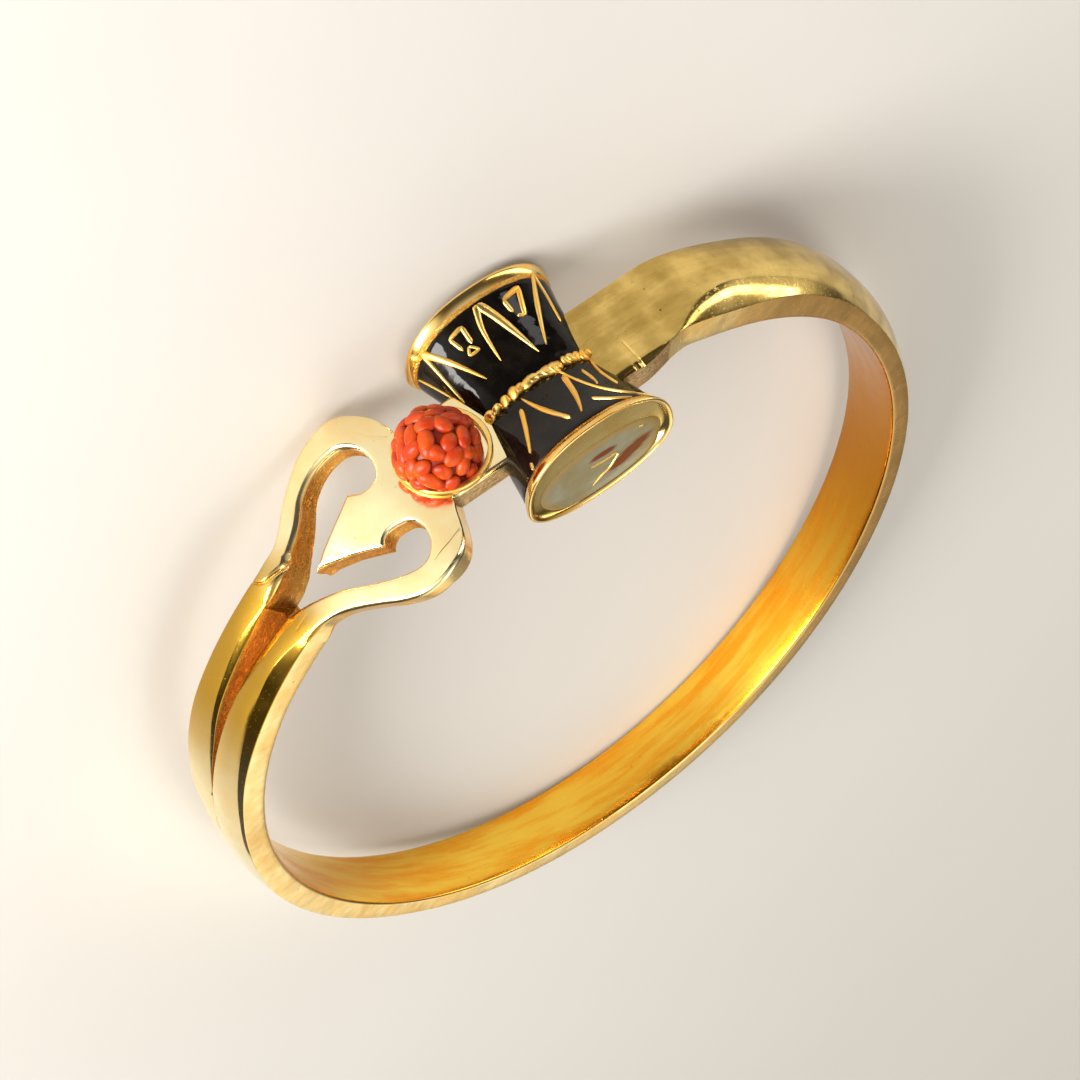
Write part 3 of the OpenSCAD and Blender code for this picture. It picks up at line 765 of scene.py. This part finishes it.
def head_top(co):
    """Outer surface of the head, which runs into the strands at the neck, with rounded edges."""
    deg = degrees_at(co)
    z = co[:, 1]
    own = top_near(deg) + (top_far(deg) - top_near(deg)) * (1 - step(-1.5, 1.5, z))
    own = own + 0.10 * bell(deg - 30, 6) * bell(z, 2.2)
    into = step(39.5, 43.6, deg)
    height = own * (1 - into) + neck_h(deg, z) * into
    fade = 1 - step(42.2, 44.2, deg)
    edge = 0.34 - 0.18 * step(42.2, 44.2, deg)
    soft = 0.46 * (z < 0) + 0.30 * (z >= 0)
    d_out, d_hole = from_outline(co), distance(co, hole_line)
    lower = np.maximum(edge * rounded_off(d_out / edge, 1.0), fade * soft * rounded_off(d_hole / soft, 1.0))
    lower = lower + 0.06 * (1 - np.minimum(np.minimum(d_out, d_hole) / 1.3, 1)) ** 2 * fade
    # the fold on the far arm narrows from the opening to the outer edge
    spread = 0.17 - 0.11 * step(38.5, 43.5, deg)
    lower = lower + 2.2 * spread * bell(distance(co, fold_line), spread)
    for line in scratches:
        lower = lower + SCRATCH_DEPTH * bell(distance(co, line), SCRATCH_WIDTH) * step(44.3, 43.9, deg)
    at_seam = deg > BAND_FROM - 1e-5
    if at_seam.any():
        height[at_seam] = section_top(BAND_FROM, z[at_seam], 0.16)
        lower[at_seam] = 0
    p = head_place(co, height)
    p[:, 1] = -soft_min(-p[:, 1], -FLAT_Y + 0.02, 0.25)
    # lowered along the ring's normal on the arms, and straight inwards on the flat front
    front = 1 - step(17, 24, deg)[:, None]
    p[:, :2] -= lower[:, None] * unit(ring_normal(deg) * (1 - front) + np.array([0, -1.0]) * front)
    return p


def head_bottom(co):
    """Inner surface of the head, on the ring's contour, with its outer edges rounded up."""
    deg = degrees_at(co)
    r = 0.12 + 0.55 * (step(16.5, 20.5, deg) * (1 - step(41, 44, deg)))
    edge = np.maximum(r * rounded_off(from_outline(co) / r, 1.0), rounded_off(distance(co, hole_line), 0.12))
    p = head_place(co, 0.03 + edge)
    p[:, 1] = -soft_min(-p[:, 1], -FLAT_IN_Y + 0.04, 0.25)
    return p


def head_points():
    """Points of the flat pattern: rim, seam, rows beside them, fold, scratches and a grid."""
    spacing = 0.34
    low = (BAR_FROM - MIDDLE) * ARC + 0.2
    grid = np.array([(u, z) for u in np.arange(low, 7.7, spacing) for z in np.arange(-8.84, 8.85, spacing)])
    grid[:, 1] += spacing / 2 * (np.round((grid[:, 0] - low) / spacing) % 2)
    grid = grid[inside(grid, rim)]
    grid = grid[distance(grid, rim) > 0.72]
    rings = []
    for line in (far_line, hole_line, near_line):
        for d in (0.03, 0.08, 0.15, 0.23, 0.32, 0.44, 0.6):
            for sign in (1, -1):
                q = line + sign * d * sideways(line)
                rings.append(q[(distance(q, rim) > 0.93 * d) & inside(q, rim)])
    rings = np.vstack(rings)
    fold_rows = (-0.36, -0.24, -0.16, -0.10, -0.05, 0, 0.05, 0.10, 0.16, 0.24, 0.36)
    creases = [fold_line + k * sideways(fold_line) for k in fold_rows]
    creases += [line + k * sideways(line) for line in scratches for k in (-0.12, -0.05, 0, 0.05, 0.12)]
    creases = np.vstack(creases)
    creases = creases[inside(creases, rim) & (distance(creases, rim) > 0.05)]
    for line, gap in [(fold_line, 0.42)] + [(line, 0.17) for line in scratches]:
        rings = rings[distance(rings, line) > gap]
        grid = grid[distance(grid, line) > gap + 0.08]
    behind = np.vstack([SEAM - [gap, 0] for gap in (0.04, 0.12, 0.24, 0.4, 0.6)])
    behind = behind[inside(behind, rim) & (distance(behind, rim) > 0.03)]
    grid = grid[grid[:, 0] < SEAM[0, 0] - 0.72]
    rings = rings[rings[:, 0] < SEAM[0, 0] - 0.66]
    return np.vstack([rim, SEAM, behind, rings, creases, grid])


def head_layers(lump):
    edges = [(i, (i + 1) % len(rim)) for i in range(len(rim))]
    co, _, tris, _, _, _ = delaunay_2d_cdt([Vector(p) for p in head_points()], edges, [], 0, 1e-6)
    co = np.array([v[:] for v in co])
    tris = np.array([t for t in tris if len(t) == 3])
    tris = tris[inside(co[tris].mean(1), rim)]
    # Faces on the fold take the cast wall's finish: a rough casting lap, its darker colour partly painted
    # shade in the crease
    on_fold = distance(co[tris].mean(1), fold_line) < 0.05
    lump.add(head_top(co), [tuple(t) for t in tris], [CAST if fold else POLISHED for fold in on_fold])
    lump.add(head_bottom(co), [tuple(t[::-1]) for t in tris], INSIDE)


def head_wall(lump, line, kinds, rng=None):
    """Wall along a line of the rim, uneven if random numbers are given."""
    top, bottom = head_top(line), head_bottom(line)
    run = np.gradient(top, axis=0)
    rows = []
    for share in (0, 0.04, 0.10, 0.18, 0.27, 0.36, 0.45, 0.54, 0.63, 0.72, 0.81, 0.9, 0.96, 1):
        q = top * (1 - share) + bottom * share
        if rng and 0.05 < share < 0.95:
            wander = 0.6 * rng.uniform(-1, 1)
            push = 0.05 * (wander + np.array([0.4 * rng.uniform(-1, 1) for _ in line]))
            side = np.cross(run, bottom - top)
            side /= np.linalg.norm(side, axis=1, keepdims=True) + 1e-9
            q = q + side * push[:, None]
        rows.append(q)
    lump.skin(rows, finish=kinds[:-1], capped=False, closed=False)


def outer_kinds(line):
    """The bar's sides are left unpolished, in a dark brown that is partly painted shade."""
    return [UNPOLISHED_SHADED if deg < BAR_TO + 0.05 else SIDE for deg in degrees_at(line)]


head_layers(band)
head_wall(band, far_line, outer_kinds(far_line))
head_wall(band, hole_line, [CAST] * len(hole_line), random.Random(5))
head_wall(band, near_line, outer_kinds(near_line))
finishes = [GOLD, GOLD_IN, WALL, GOLD_BAND, GOLD_SIDE, DULL_SHADED]
make("band_and_trident", band, finishes, "bangle_band", sharp=50)


# Collet: thin collar with a rounded lip, a little uneven
collet = Lump()
corners = [(3.44, -0.05), (3.42, 0.47), (3.79, 0.50), (3.87, 0.34), (3.86, -0.05)]
profile = fillet(corners, [0, 0.06, 0.12, 0.1, 0], 4)
turns = np.linspace(0, 2 * math.pi, 97)[:-1]
loops = []
for r, h in profile:
    wobble = 1 + (0.010 * np.sin(3 * turns + 1) + 0.008 * np.sin(8 * turns)) * (r < 3.6)
    rise = h * (0.95 + 0.06 * np.sin(2 * turns + 0.6) + 0.03 * np.sin(5 * turns))
    x, z = r * wobble * np.cos(turns), r * wobble * np.sin(turns)
    loops.append(np.column_stack([BEAD_X + x, FLAT_Y - rise, z]))
# its inner wall is rough
collet.skin(loops, finish=[[1]] + [[0]] * (len(loops) - 2), capped=False)
collet.skin([loops[-1], loops[0]], capped=False)
make("collet_rim", collet, [GOLD_LINE, WALL], "bead_collet")


# Seed: a core under lobes of uneven size and lie, flat where it sits on the bar
seed = Lump()
rng = random.Random(12)
centre = np.array(SEED_AT)
seed.ball(centre, 2.95 * np.eye(3), detail=4)
LOBES = 66
GOLDEN_ANGLE = math.radians(137.508)
IN_THE_BAR = 0.62
for i in range(LOBES):
    height = 1 - 2 * (i + 0.5) / LOBES
    ring = math.sqrt(1 - height * height)
    away = np.array([ring * math.cos(i * GOLDEN_ANGLE), height, ring * math.sin(i * GOLDEN_ANGLE)])
    away = unit(away + [rng.uniform(-0.07, 0.07) for _ in range(3)])
    if away[1] > IN_THE_BAR:
        continue
    side = unit(np.cross(away, [rng.uniform(-1, 1) for _ in range(3)]))
    third = np.cross(away, side)
    a, b, c = rng.uniform(0.82, 1.18), rng.uniform(0.64, 0.74), rng.uniform(0.56, 0.62)
    axes = np.column_stack([a * side, b * third, c * away])
    seed.ball(centre + (2.93 + rng.uniform(-0.09, 0.07)) * away, axes, detail=3, bumps=0.05, rng=rng)
for points in seed.points:
    points[:, 1] = np.minimum(points[:, 1], FLAT_Y + 0.02)
make("seed", seed, [seed_skin("seed_skin")], "seed_bead")


# Drum: sections as in part.scad, with angle 0 towards +X and 90 degrees outwards
def rounded(v):
    """Makes a circle a little squarer."""
    return np.sign(v) * np.abs(v) ** 0.88


def drum_point(deg, z, inset=0.0):
    """A point of the drum's hourglass, or of one that is smaller by the inset."""
    a = np.radians(np.asarray(deg, float))
    z = np.asarray(z, float)
    share = np.minimum(1, np.abs(z) / DRUM_HALF) ** 1.2
    w = 5.1 + 1.6 * share - inset
    out = 2.5 + 3.4 * share - inset
    low = 2.0 + 1.5 * share - inset
    y = DRUM_Y - np.where(np.sin(a) > 0, out, low) * rounded(np.sin(a))
    return np.stack([DRUM_X + w * rounded(np.cos(a)), y, z + 0 * a], -1)


def end_oval(scale, z):
    """Outline of the enamelled field on an end face: set off towards the inside of the ring."""
    a = np.radians(ROUND)
    x = DRUM_X - 0.25 + 5.6 * scale * rounded(np.cos(a))
    y = DRUM_Y + 0.38 - 2.7 * scale * rounded(np.sin(a))
    return np.stack([x, y, z + 0 * a], -1)


def away_from_axis(p):
    """Direction from the drum's axis to points."""
    return p - [DRUM_X, DRUM_Y, 0]


ROUND = np.arange(0, 360, 3.0)
METAL, RAISED, HIDDEN, LIP = range(4)
# Half of the core from the waist over its rim: distance from the middle, and inset. Enamel covers its start.
RIM = [
    (0.0, 0.45), (6.7, 0.4), (6.82, 0.30), (6.88, 0.14), (7.02, 0.06), (7.14, -0.03), (7.30, -0.09),
    (7.48, -0.13), (7.66, -0.145), (7.80, -0.135), (7.91, -0.09), (7.97, -0.02), (7.99, 0.07), (7.97, 0.16),
    (7.90, 0.25), (7.80, 0.35)]
UNDER_ENAMEL = 5
# From the rim's inner edge down to the enamelled field: share of the way and distance from the middle
LIP_ROWS = ((0.0, 7.72), (0.3, 7.60), (0.6, 7.50), (0.85, 7.44), (0.97, 7.42), (1.0, 7.40), (1.04, 7.30))
core = Lump()
for side in (1, -1):
    rings = [drum_point(ROUND, side * z, inset) for z, inset in RIM]
    lip = drum_point(ROUND, side * DRUM_HALF, 0.42)
    for share, z in LIP_ROWS:
        ring = lip * (1 - share) + end_oval(1, 0) * share
        ring[:, 2] = side * z
        rings.append(ring)
    rows = [HIDDEN] * UNDER_ENAMEL + [METAL] * (len(RIM) - UNDER_ENAMEL) + [LIP] * (len(LIP_ROWS) - 1)
    core.skin(rings, finish=[[row] for row in rows], capped=False)


def stroke(lump, line, wide):
    """A raised line on the drum through points of (angle, height), wide in millimetres at each point."""
    line = np.array(line, float)
    keys = np.arange(len(line))
    curved = len(line) > 2
    t = np.linspace(0, keys[-1], 8 * keys[-1] + 1 if curved else 11)
    deg, z = catmull(line, 8).T if curved else (np.interp(t, keys, row) for row in line.T)
    # both ends taper
    w = np.interp(t, keys, wide) * np.minimum(1, np.minimum(t + 0.06, t[-1] + 0.06 - t) * 5)
    p = drum_point(deg, z)
    e = 0.05
    round_it = drum_point(deg + e, z) - drum_point(deg - e, z)
    normal = np.cross(round_it, drum_point(deg, z + e) - drum_point(deg, z - e))
    away = away_from_axis(p)
    away[:, 2] = 0
    normal = unit(normal * np.sign((normal * away).sum(1))[:, None])
    across = unit(np.cross(normal, np.gradient(p, axis=0)))
    loops = []
    for k in range(len(t)):
        top = 0.09 + 0.09 * w[k]
        rows = [(-0.5, -0.06), (-0.45, 0.4 * top), (-0.26, 0.84 * top), (0, top),
                (0.26, 0.84 * top), (0.45, 0.4 * top), (0.5, -0.06)]
        loops.append([p[k] + across[k] * w[k] * x + normal[k] * h for x, h in rows])
    lump.skin(loops, finish=RAISED)


# Tongues and small figures between them: points of (angle, height) and the width at each
FAR_MARKS = [
    ([(33, -6.98), (46, -4.9), (60.5, -2.2)], (0.66, 0.52, 0.14)),
    ([(33, -7.0), (29.5, -4.9), (24, -2.35)], (0.42, 0.30, 0.14)),
    ([(88.5, -6.68), (96, -4.2), (104, -1.6)], (0.84, 0.64, 0.10)),
    ([(87.6, -6.7), (82, -5.0), (79, -2.55)], (0.66, 0.42, 0.12)),
    ([(139, -7.05), (126, -4.6), (113, -1.8)], (0.36, 0.48, 0.12)),
    ([(140, -7.1), (143.5, -5.2), (144, -3.15)], (0.30, 0.26, 0.12)),
    ([(59, -6.0), (72, -6.1)], (0.36, 0.40)),
    ([(72, -6.15), (70.5, -4.75)], (0.44, 0.40)),
    ([(59, -6.05), (61.5, -4.8)], (0.36, 0.36)),
    ([(67, -4.75), (71.5, -4.15), (63.5, -4.25), (67, -4.75)], (0.26, 0.26, 0.30, 0.26)),
    ([(104, -4.95), (102.5, -6.0)], (0.38, 0.40)),
    ([(102.3, -6.0), (118.8, -6.4)], (0.42, 0.46)),
    ([(118.5, -6.45), (111, -4.35)], (0.46, 0.46)),
    ([(111, -4.4), (105.5, -4.6)], (0.34, 0.34)),
    ([(7.5, -6.6), (17, -3.4)], (0.18, 0.16)),
]
NEAR_MARKS = [
    ([(71.5, 0.75), (77.5, 3.15), (85, 5.6)], (0.16, 0.44, 0.40)),
    ([(64.5, 1.55), (56, 3.4), (45, 5.55)], (0.40, 0.40, 0.24)),
    ([(40, 6.2), (38, 6.85)], (0.30, 0.30)),
    ([(106, 1.2), (99.5, 3.4), (91, 5.85)], (0.50, 0.46, 0.16)),
    ([(107, 0.35), (110.5, 2.4), (117, 4.6), (131, 6.5), (147, 7.3)], (0.18, 0.22, 0.22, 0.20, 0.14)),
    ([(103, 5.1), (112, 6.2), (124, 7.1)], (0.30, 0.22, 0.16)),
    ([(123.5, 1.6), (122, 2.9), (118.5, 3.9)], (0.24, 0.28, 0.16)),
    ([(149, 0.65), (138, 2.4), (134.5, 4.6)], (0.20, 0.26, 0.16)),
]
# The side that the photo hides carries on in the same way
for mid in (195, 250, 305):
    FAR_MARKS += [
        ([(mid, -6.98), (mid + 12, -4.9), (mid + 22, -2.0)], (0.66, 0.52, 0.14)),
        ([(mid, -7.0), (mid - 5, -4.9), (mid - 9, -2.4)], (0.42, 0.30, 0.14)),
    ]
    NEAR_MARKS += [
        ([(mid, 0.75), (mid + 6, 3.15), (mid + 14, 5.6)], (0.16, 0.44, 0.40)),
        ([(mid - 8, 1.55), (mid - 16, 3.4), (mid - 26, 5.5)], (0.40, 0.40, 0.24)),
    ]
for points, wide in FAR_MARKS + NEAR_MARKS:
    stroke(core, points, wide)
# Two thin strokes and two short glints on the enamel of each end: X and Y from the axis, and widths
END_MARKS = (
    ([(-1.85, 0.69), (-1.09, 1.62), (-0.22, 2.02), (1.2, 2.85)], (0.10, 0.20, 0.20, 0.12)),
    ([(-1.69, 0.38), (-0.56, 0.36), (0.74, 0.16)], (0.16, 0.26, 0.12)),
    ([(-3.9, -0.9), (-4.3, -0.75)], (0.16, 0.16)),
    ([(3.3, 2.4), (2.75, 2.2)], (0.14, 0.14)),
)
PLATE_Z = 7.44
for side in (1, -1):
    for points, wide in END_MARKS:
        line = catmull(points, 6)
        w = np.interp(np.linspace(0, 1, len(line)), np.linspace(0, 1, len(wide)), wide)
        loops = []
        for k, h in ((-0.5, -0.05), (-0.4, 0.05), (0, 0.09), (0.4, 0.05), (0.5, -0.05)):
            x, y = (line + sideways(line) * w[:, None] * k).T
            loops.append(np.column_stack([DRUM_X + x, DRUM_Y + y, np.full(len(x), side * (PLATE_Z + h))]))
        core.skin(np.swapaxes(loops, 0, 1), finish=RAISED)
make("drum_metal", core, [GOLD_SMALL, GOLD_LINE, WALL, OLIVE_SHADE], "drum_core", sharp=60)

# Enamel on both halves of the drum and in its ends
SKIN_ROWS = np.concatenate([[0.12, 0.16], np.linspace(0.25, 6.72, 24), [6.82, 6.87]])
# The plates: share of the field, distance from the middle, and how far they climb the lip on the wrist side
PLATE_ROWS = (
    (1.03, 7.33, 0.0), (1.0, 7.405, 0.36), (0.97, 7.43, 0.30), (0.92, 7.445, 0.20), (0.86, 7.45, 0.10),
    (0.8, 7.45, 0.04), (0.6, 7.44, 0.0), (0.4, 7.43, 0.0), (0.2, 7.43, 0.0))
wrist_side = step(0.1, 0.8, -np.sin(np.radians(ROUND)))
for name, side in (("near", 1), ("far", -1)):
    enamel = Lump()
    loops = [drum_point(ROUND, side * SKIN_ROWS[0], 0.4)]
    for z in SKIN_ROWS:
        dip = 0.03 + 0.05 * bell(z - 0.12, 0.15) + 0.05 * bell(z - 6.87, 0.12)
        ripple = 0.02 * np.sin(np.radians(ROUND) * 9 + 1.3 * z)
        loops.append(drum_point(ROUND, side * z, dip + ripple))
    loops.append(drum_point(ROUND, side * SKIN_ROWS[-1], 0.4))
    enamel.skin(loops, capped=False)
    make(f"enamel_{name}", enamel, [BLACK], f"drum_enamel_{name}")

    plate = Lump()
    plate.skin([end_oval(scale, side * (z + rise * wrist_side)) for scale, z, rise in PLATE_ROWS])
    make(f"end_plate_{name}", plate, [PALE], f"end_enamel_{name}")


# Beads round the waist: uneven flattened drops that nearly touch, over a thin strip
beads = Lump()
rng = random.Random(3)
AXIS = np.array([0, 0, 1.0])
BEADS_AT = (35, 47.5, 58.5, 68, 76, 83, 89, 95, 100.5, 106, 111, 119.5, 127, 134.5, 144, 153)
for deg in BEADS_AT:
    first = 1.15 if deg == BEADS_AT[0] else 1
    deg += rng.uniform(-0.8, 0.8)
    middle = drum_point(deg, rng.uniform(-0.1, 0.1), -0.10)
    away = away_from_axis(middle)
    away[2] = 0
    away = unit(away)
    size = rng.uniform(0.88, 1.1) * first
    lean = rng.uniform(-0.3, 0.3)
    along_waist = math.cos(lean) * np.cross(away, AXIS) + math.sin(lean) * AXIS
    over = np.cross(away, along_waist)
    thick = 0.46 * size * rng.uniform(0.8, 1.2)
    axes = np.column_stack([0.33 * size * away, 0.62 * size * along_waist, thick * over])
    beads.ball(middle, axes, detail=3, bumps=0.09, rng=rng)
STRIP = ((-0.1, 0.26), (0.08, 0.22), (0.15, 0.0), (0.08, -0.22), (-0.1, -0.26))
loops = []
for deg in np.linspace(34, 154, 60):
    p = drum_point(deg, 0.0)
    loops.append([p + unit(away_from_axis(p)) * h + AXIS * z for h, z in STRIP])
beads.skin(loops)
make("waist_beads", beads, [GOLD_LINE], "waist_beading")


# Floor
bpy.ops.mesh.primitive_plane_add(size=6)
floor = bpy.context.object
floor.name = "floor"
floor.data.materials.append(pale_floor("floor_pale"))

# Camera at the photo's angle, given in the upright ring's frame
EYE = Vector((89.375, -314.938, 163.286))
RIGHT = Vector((-0.79961482, 0.08822464, 0.5939971))
FORWARD = Vector((-0.24689647, 0.85338045, -0.45911211))
camera = bpy.data.objects.new("camera", bpy.data.cameras.new("camera"))
scene.collection.objects.link(camera)
turn = laid_down.to_3x3().normalized() @ Matrix((RIGHT, RIGHT.cross(FORWARD), -FORWARD)).transposed()
camera.matrix_world = Matrix.Translation(laid_down @ EYE) @ turn.to_4x4()
camera.data.lens = 150
camera.data.sensor_width = 36
camera.data.clip_start = 0.01
scene.camera = camera


# Studio light: three soft boxes and a sky with soft bright patches
def softbox(name, towards, away, size, radiance, colour):
    """A rectangular light that looks at the bangle from a direction."""
    data = bpy.data.lights.new(name, "AREA")
    data.shape = "RECTANGLE"
    data.size, data.size_y = size
    data.energy = radiance * math.pi * size[0] * size[1]
    data.color = colour
    obj = bpy.data.objects.new(name, data)
    scene.collection.objects.link(obj)
    at = Vector(towards).normalized() * away
    obj.location = at
    obj.rotation_euler = (-at).to_track_quat("-Z", "Y").to_euler()


softbox("key_left", (0.88, -0.48, 0.36), 0.30, (0.15, 0.13), 22, (1.0, 0.97, 0.93))
softbox("fill_right", (-0.83, -0.47, 0.30), 0.30, (0.34, 0.055), 3.8, (1.0, 0.98, 0.95))
softbox("top_box", (-0.1, 0.1, 1.0), 0.6, (0.26, 0.26), 2.4, (1.0, 0.98, 0.95))

world = bpy.data.worlds.new("studio")
scene.world = world
world.use_nodes = True
sky = Tree(world.node_tree)
direction = sky.add("ShaderNodeTexCoord").outputs["Generated"]
light = (0.09, 0.082, 0.072)
# Each patch: its direction, where it is full and where it ends in degrees from its middle, and its colour
for towards, full, end, colour in (
    ((0.05, 0.765, 0.64), 16, 30, (1.05, 0.98, 0.82)),
    ((-0.2, 0.95, 0.15), 8, 40, (0.32, 0.29, 0.23)),
    ((-0.97, -0.05, 0.20), 10, 28, (0.7, 0.66, 0.60)),
    ((0.80, -0.45, 0.45), 8, 40, (1.2, 1.15, 1.05)),
    ((0.0, 0.0, 1.0), 10, 55, (0.62, 0.60, 0.57)),
):
    dot = sky.vector("DOT_PRODUCT", {0: direction, 1: Vector(towards).normalized()})["Value"]
    soft = sky.ramp(dot, math.cos(math.radians(end)), math.cos(math.radians(full)))
    patch = sky.vector("SCALE", {0: colour, "Scale": soft})[0]
    light = sky.vector("ADD", {0: light, 1: patch})[0]
sky.put(world.node_tree.nodes["Background"].inputs["Color"], light)
scene.view_settings.view_transform = "Standard"
